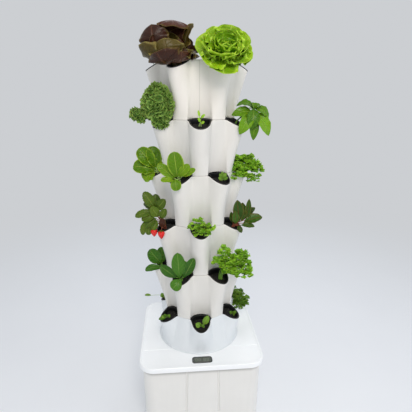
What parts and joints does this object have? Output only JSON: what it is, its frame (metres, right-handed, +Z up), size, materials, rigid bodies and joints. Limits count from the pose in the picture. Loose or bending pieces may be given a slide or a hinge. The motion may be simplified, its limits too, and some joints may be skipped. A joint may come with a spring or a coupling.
{
  "type": "vertical planter tower",
  "caption": "Vertical planter tower: stacked lobed tiers of tilted planting pockets, some with grown greens, on a lidded square water tank with a pump, riser and display.",
  "frame": {"origin": "centre of the tank's flat foot on the ground", "axes": "+Z up the tower, -Y towards the front with the display, +X to the right as seen from the front"},
  "size_m": [0.45, 0.45, 1.416],
  "materials": {
    "white_shell": "satin moulded",
    "white_base": "smooth moulded",
    "black_cup": "fine moulded texture",
    "planted_cup": "black cup with the leaves of a grown plant",
    "display_border": "polished",
    "display_window": "polished",
    "black_plastic": "moulded",
    "pipe": "extruded",
    "rubber": "matt"
  },
  "bodies": {
    "tank": {"tank": "white_base", "pump_body": "black_plastic", "pump_strainer": "black_plastic", "riser_lower": "pipe", "riser_coupling": "pipe", "riser_upper": "pipe", "cable_grommet": "rubber"},
    "lid": {"lid": "white_base", "display_bezel": "display_border", "display_window": "display_window", "display_module": "black_plastic"},
    "fill_cap": {"fill_cap": "white_base"},
    "spray_cap": {"spray_cap": "pipe"},
    "impeller": {"impeller": "black_plastic"},
    "tier_1": {"tier_1": "white_shell"},
    "tier_2": {"tier_2": "white_shell"},
    "tier_3": {"tier_3": "white_shell"},
    "tier_4": {"tier_4": "white_shell"},
    "tier_5": {"tier_5": "white_shell"},
    "tier_6": {"tier_6": "white_shell"},
    "cup_1_30": {"cup_1_30": "planted_cup"},
    "cup_1_90": {"cup_1_90": "black_cup"},
    "cup_1_150": {"cup_1_150": "black_cup"},
    "cup_1_210": {"cup_1_210": "planted_cup"},
    "cup_1_270": {"cup_1_270": "black_cup"},
    "cup_1_330": {"cup_1_330": "planted_cup"},
    "cup_2_0": {"cup_2_0": "black_cup"},
    "cup_2_60": {"cup_2_60": "planted_cup"},
    "cup_2_120": {"cup_2_120": "black_cup"},
    "cup_2_180": {"cup_2_180": "black_cup"},
    "cup_2_240": {"cup_2_240": "black_cup"},
    "cup_2_300": {"cup_2_300": "planted_cup"},
    "cup_3_30": {"cup_3_30": "black_cup"},
    "cup_3_90": {"cup_3_90": "planted_cup"},
    "cup_3_150": {"cup_3_150": "black_cup"},
    "cup_3_210": {"cup_3_210": "black_cup"},
    "cup_3_270": {"cup_3_270": "planted_cup"},
    "cup_3_330": {"cup_3_330": "planted_cup"},
    "cup_4_0": {"cup_4_0": "planted_cup"},
    "cup_4_60": {"cup_4_60": "planted_cup"},
    "cup_4_120": {"cup_4_120": "black_cup"},
    "cup_4_180": {"cup_4_180": "black_cup"},
    "cup_4_240": {"cup_4_240": "black_cup"},
    "cup_4_300": {"cup_4_300": "planted_cup"},
    "cup_5_30": {"cup_5_30": "planted_cup"},
    "cup_5_90": {"cup_5_90": "black_cup"},
    "cup_5_150": {"cup_5_150": "black_cup"},
    "cup_5_210": {"cup_5_210": "black_cup"},
    "cup_5_270": {"cup_5_270": "planted_cup"},
    "cup_5_330": {"cup_5_330": "planted_cup"},
    "cup_6_0": {"cup_6_0": "black_cup"},
    "cup_6_60": {"cup_6_60": "black_cup"},
    "cup_6_120": {"cup_6_120": "planted_cup"},
    "cup_6_180": {"cup_6_180": "black_cup"},
    "cup_6_240": {"cup_6_240": "black_cup"},
    "cup_6_300": {"cup_6_300": "black_cup"}
  },
  "joints": [
    {"name": "lid_lift", "type": "slide", "parent": "tank", "child": "lid", "axis": [0, 0, 1], "range_m": [0, 0.06]},
    {"name": "fill_cap_lift", "type": "slide", "parent": "lid", "child": "fill_cap", "axis": [0, 0, 1], "range_m": [0, 0.04]},
    {"name": "spray_cap_lift", "type": "slide", "parent": "tank", "child": "spray_cap", "axis": [0, 0, 1], "range_m": [0, 0.05]},
    {"name": "impeller_spin", "type": "hinge", "parent": "tank", "child": "impeller", "pos_m": [0, 0, 0.0453], "axis": [0, 1, 0], "continuous": true},
    {"name": "tier_6_lift", "type": "slide", "parent": "lid", "child": "tier_6", "axis": [0, 0, 1], "range_m": [0, 0.06]},
    {"name": "tier_5_lift", "type": "slide", "parent": "tier_6", "child": "tier_5", "axis": [0, 0, 1], "range_m": [0, 0.06]},
    {"name": "tier_4_lift", "type": "slide", "parent": "tier_5", "child": "tier_4", "axis": [0, 0, 1], "range_m": [0, 0.06]},
    {"name": "tier_3_lift", "type": "slide", "parent": "tier_4", "child": "tier_3", "axis": [0, 0, 1], "range_m": [0, 0.06]},
    {"name": "tier_2_lift", "type": "slide", "parent": "tier_3", "child": "tier_2", "axis": [0, 0, 1], "range_m": [0, 0.06]},
    {"name": "tier_1_lift", "type": "slide", "parent": "tier_2", "child": "tier_1", "axis": [0, 0, 1], "range_m": [0, 0.06]},
    {"name": "tower_cup_1_30_lift", "type": "slide", "parent": "tier_1", "child": "cup_1_30", "axis": [0.1545, -0.2676, 0.9511], "range_m": [0, 0.07]},
    {"name": "tower_cup_1_90_lift", "type": "slide", "parent": "tier_1", "child": "cup_1_90", "axis": [0.309, 0, 0.9511], "range_m": [0, 0.07]},
    {"name": "tower_cup_1_150_lift", "type": "slide", "parent": "tier_1", "child": "cup_1_150", "axis": [0.1545, 0.2676, 0.9511], "range_m": [0, 0.07]},
    {"name": "tower_cup_1_210_lift", "type": "slide", "parent": "tier_1", "child": "cup_1_210", "axis": [-0.1545, 0.2676, 0.9511], "range_m": [0, 0.07]},
    {"name": "tower_cup_1_270_lift", "type": "slide", "parent": "tier_1", "child": "cup_1_270", "axis": [-0.309, 0, 0.9511], "range_m": [0, 0.07]},
    {"name": "tower_cup_1_330_lift", "type": "slide", "parent": "tier_1", "child": "cup_1_330", "axis": [-0.1545, -0.2676, 0.9511], "range_m": [0, 0.07]},
    {"name": "tower_cup_2_0_lift", "type": "slide", "parent": "tier_2", "child": "cup_2_0", "axis": [0, -0.309, 0.9511], "range_m": [0, 0.07]},
    {"name": "tower_cup_2_60_lift", "type": "slide", "parent": "tier_2", "child": "cup_2_60", "axis": [0.2676, -0.1545, 0.9511], "range_m": [0, 0.07]},
    {"name": "tower_cup_2_120_lift", "type": "slide", "parent": "tier_2", "child": "cup_2_120", "axis": [0.2676, 0.1545, 0.9511], "range_m": [0, 0.07]},
    {"name": "tower_cup_2_180_lift", "type": "slide", "parent": "tier_2", "child": "cup_2_180", "axis": [0, 0.309, 0.9511], "range_m": [0, 0.07]},
    {"name": "tower_cup_2_240_lift", "type": "slide", "parent": "tier_2", "child": "cup_2_240", "axis": [-0.2676, 0.1545, 0.9511], "range_m": [0, 0.07]},
    {"name": "tower_cup_2_300_lift", "type": "slide", "parent": "tier_2", "child": "cup_2_300", "axis": [-0.2676, -0.1545, 0.9511], "range_m": [0, 0.07]},
    {"name": "tower_cup_3_30_lift", "type": "slide", "parent": "tier_3", "child": "cup_3_30", "axis": [0.1545, -0.2676, 0.9511], "range_m": [0, 0.07]},
    {"name": "tower_cup_3_90_lift", "type": "slide", "parent": "tier_3", "child": "cup_3_90", "axis": [0.309, 0, 0.9511], "range_m": [0, 0.07]},
    {"name": "tower_cup_3_150_lift", "type": "slide", "parent": "tier_3", "child": "cup_3_150", "axis": [0.1545, 0.2676, 0.9511], "range_m": [0, 0.07]},
    {"name": "tower_cup_3_210_lift", "type": "slide", "parent": "tier_3", "child": "cup_3_210", "axis": [-0.1545, 0.2676, 0.9511], "range_m": [0, 0.07]},
    {"name": "tower_cup_3_270_lift", "type": "slide", "parent": "tier_3", "child": "cup_3_270", "axis": [-0.309, 0, 0.9511], "range_m": [0, 0.07]},
    {"name": "tower_cup_3_330_lift", "type": "slide", "parent": "tier_3", "child": "cup_3_330", "axis": [-0.1545, -0.2676, 0.9511], "range_m": [0, 0.07]},
    {"name": "tower_cup_4_0_lift", "type": "slide", "parent": "tier_4", "child": "cup_4_0", "axis": [0, -0.309, 0.9511], "range_m": [0, 0.07]},
    {"name": "tower_cup_4_60_lift", "type": "slide", "parent": "tier_4", "child": "cup_4_60", "axis": [0.2676, -0.1545, 0.9511], "range_m": [0, 0.07]},
    {"name": "tower_cup_4_120_lift", "type": "slide", "parent": "tier_4", "child": "cup_4_120", "axis": [0.2676, 0.1545, 0.9511], "range_m": [0, 0.07]},
    {"name": "tower_cup_4_180_lift", "type": "slide", "parent": "tier_4", "child": "cup_4_180", "axis": [0, 0.309, 0.9511], "range_m": [0, 0.07]},
    {"name": "tower_cup_4_240_lift", "type": "slide", "parent": "tier_4", "child": "cup_4_240", "axis": [-0.2676, 0.1545, 0.9511], "range_m": [0, 0.07]},
    {"name": "tower_cup_4_300_lift", "type": "slide", "parent": "tier_4", "child": "cup_4_300", "axis": [-0.2676, -0.1545, 0.9511], "range_m": [0, 0.07]},
    {"name": "tower_cup_5_30_lift", "type": "slide", "parent": "tier_5", "child": "cup_5_30", "axis": [0.1545, -0.2676, 0.9511], "range_m": [0, 0.07]},
    {"name": "tower_cup_5_90_lift", "type": "slide", "parent": "tier_5", "child": "cup_5_90", "axis": [0.309, 0, 0.9511], "range_m": [0, 0.07]},
    {"name": "tower_cup_5_150_lift", "type": "slide", "parent": "tier_5", "child": "cup_5_150", "axis": [0.1545, 0.2676, 0.9511], "range_m": [0, 0.07]},
    {"name": "tower_cup_5_210_lift", "type": "slide", "parent": "tier_5", "child": "cup_5_210", "axis": [-0.1545, 0.2676, 0.9511], "range_m": [0, 0.07]},
    {"name": "tower_cup_5_270_lift", "type": "slide", "parent": "tier_5", "child": "cup_5_270", "axis": [-0.309, 0, 0.9511], "range_m": [0, 0.07]},
    {"name": "tower_cup_5_330_lift", "type": "slide", "parent": "tier_5", "child": "cup_5_330", "axis": [-0.1545, -0.2676, 0.9511], "range_m": [0, 0.07]},
    {"name": "tower_cup_6_0_lift", "type": "slide", "parent": "tier_6", "child": "cup_6_0", "axis": [0, -0.309, 0.9511], "range_m": [0, 0.07]},
    {"name": "tower_cup_6_60_lift", "type": "slide", "parent": "tier_6", "child": "cup_6_60", "axis": [0.2676, -0.1545, 0.9511], "range_m": [0, 0.07]},
    {"name": "tower_cup_6_120_lift", "type": "slide", "parent": "tier_6", "child": "cup_6_120", "axis": [0.2676, 0.1545, 0.9511], "range_m": [0, 0.07]},
    {"name": "tower_cup_6_180_lift", "type": "slide", "parent": "tier_6", "child": "cup_6_180", "axis": [0, 0.309, 0.9511], "range_m": [0, 0.07]},
    {"name": "tower_cup_6_240_lift", "type": "slide", "parent": "tier_6", "child": "cup_6_240", "axis": [-0.2676, 0.1545, 0.9511], "range_m": [0, 0.07]},
    {"name": "tower_cup_6_300_lift", "type": "slide", "parent": "tier_6", "child": "cup_6_300", "axis": [-0.2676, -0.1545, 0.9511], "range_m": [0, 0.07]}
  ]
}
